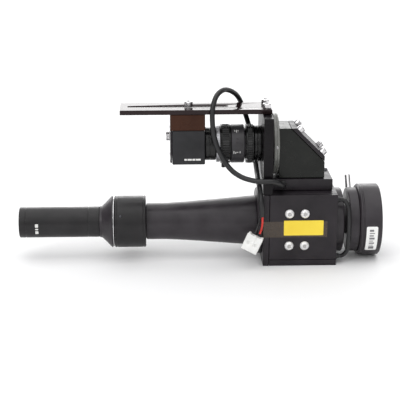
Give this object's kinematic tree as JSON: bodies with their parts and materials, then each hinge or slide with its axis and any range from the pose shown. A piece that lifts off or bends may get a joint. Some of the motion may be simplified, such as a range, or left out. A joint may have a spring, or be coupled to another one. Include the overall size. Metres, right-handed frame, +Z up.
{
  "type": "coaxial machine vision camera module",
  "caption": "Small cube camera with lens on a slotted arm, looking through a 45 degree mirror box into a beam-splitter block with a tapered tube and a focusing barrel.",
  "frame": {"origin": "under the centre of the beam-splitter block, on the surface that it stands on", "axes": "+X along both optical axes towards the focusing barrel, +Y to the back, +Z up"},
  "size_m": [0.3065, 0.0738, 0.1481],
  "materials": {
    "black_anodised": "satin black anodised aluminium",
    "grey_anodised": "satin dark grey anodised aluminium",
    "brown_anodised": "satin brown-black anodised aluminium",
    "chrome": "bright plated steel",
    "white_screw": "pale zinc-plated steel",
    "mirror": "front-silvered mirror",
    "glass": "coated optical glass",
    "board": "solder-masked circuit board",
    "black_pvc": "soft black cable jacket",
    "red_pvc": "soft red wire jacket",
    "white_plastic": "off-white connector plastic"
  },
  "bodies": {
    "root": {"block_body": "black_anodised", "left_side_plate": "black_anodised", "base_plate": "black_anodised", "front_cover": "black_anodised", "cover_screw_1": "white_screw", "cover_screw_2": "white_screw", "cover_screw_3": "white_screw", "cover_screw_4": "white_screw", "splitter_cradle": "black_anodised", "beam_splitter": "glass", "tube_flange": "grey_anodised", "main_tube": "grey_anodised", "collimator_lens": "glass", "rear_neck": "grey_anodised", "adapter_plate": "black_anodised", "mirror_box": "black_anodised", "mirror": "mirror", "mirror_cover": "black_anodised", "mirror_screw_1": "chrome", "mirror_screw_2": "chrome", "mirror_screw_3": "chrome", "mirror_screw_4": "chrome", "rotation_flange": "black_anodised", "mount_plate": "black_anodised", "top_plate": "black_anodised", "arm_screw_1": "chrome", "arm_screw_2": "chrome", "cable_gland": "black_pvc", "cable": "black_pvc", "wire_red": "red_pvc", "wire_black": "black_pvc", "connector": "white_plastic", "jumper_gland_top": "black_pvc", "jumper_gland_bottom": "black_pvc", "jumper_cable": "black_pvc"},
    "carriage": {"camera_bracket": "brown_anodised", "clamp_screw": "chrome", "camera_body": "grey_anodised", "camera_rear_cover": "black_anodised", "camera_connector": "chrome", "sensor_board": "board", "camera_mount_ring": "black_anodised", "lens_lock_ring": "chrome", "lens_core": "black_anodised", "lens_sleeve": "black_anodised", "lens_front_ring": "black_anodised"},
    "aperture": {"aperture_ring": "black_anodised", "aperture_thumb_screw": "black_anodised"},
    "focus": {"focus_ring": "black_anodised"},
    "focus_cell": {"focus_cell": "black_anodised", "cell_lens": "glass"},
    "collar": {"focus_collar": "black_anodised"},
    "front": {"front_barrel": "black_anodised", "front_lens": "glass", "cone_adapter": "grey_anodised", "lock_ring": "chrome"},
    "objective": {"rear_barrel": "grey_anodised", "objective_lens": "glass"},
    "lock": {"barrel_lock_screw": "chrome"}
  },
  "joints": [
    {"name": "carriage_slide", "type": "slide", "parent": "root", "child": "carriage", "axis": [-1, 0, 0], "range_m": [0, 0.04]},
    {"name": "aperture_turn", "type": "hinge", "parent": "carriage", "child": "aperture", "pos_m": [-0.0616, 0, 0.099], "axis": [1, 0, 0], "range_deg": [0, 80]},
    {"name": "focus_turn", "type": "hinge", "parent": "carriage", "child": "focus", "pos_m": [-0.0413, 0, 0.099], "axis": [1, 0, 0], "range_deg": [0, 120]},
    {"name": "focus_travel", "type": "slide", "parent": "carriage", "child": "focus_cell", "axis": [1, 0, 0], "range_m": [0, 0.002]},
    {"name": "collar_turn", "type": "hinge", "parent": "root", "child": "collar", "pos_m": [-0.1424, 0, 0.031], "axis": [1, 0, 0], "range_deg": [0, 240]},
    {"name": "front_travel", "type": "slide", "parent": "root", "child": "front", "axis": [-1, 0, 0], "range_m": [0, 0.004]},
    {"name": "objective_turn", "type": "hinge", "parent": "root", "child": "objective", "pos_m": [0.0605, 0, 0.031], "axis": [1, 0, 0], "range_deg": [-90, 90]},
    {"name": "lock_turn", "type": "hinge", "parent": "root", "child": "lock", "pos_m": [0.0468, 0.01318, 0.04786], "axis": [0, 0.6157, 0.788], "range_deg": [0, 180]}
  ],
  "couplings": [
    {"joint": "front_travel", "follows": "collar_turn", "m_per_rad": 0.00095483},
    {"joint": "focus_travel", "follows": "focus_turn", "m_per_rad": 0.00095483}
  ]
}
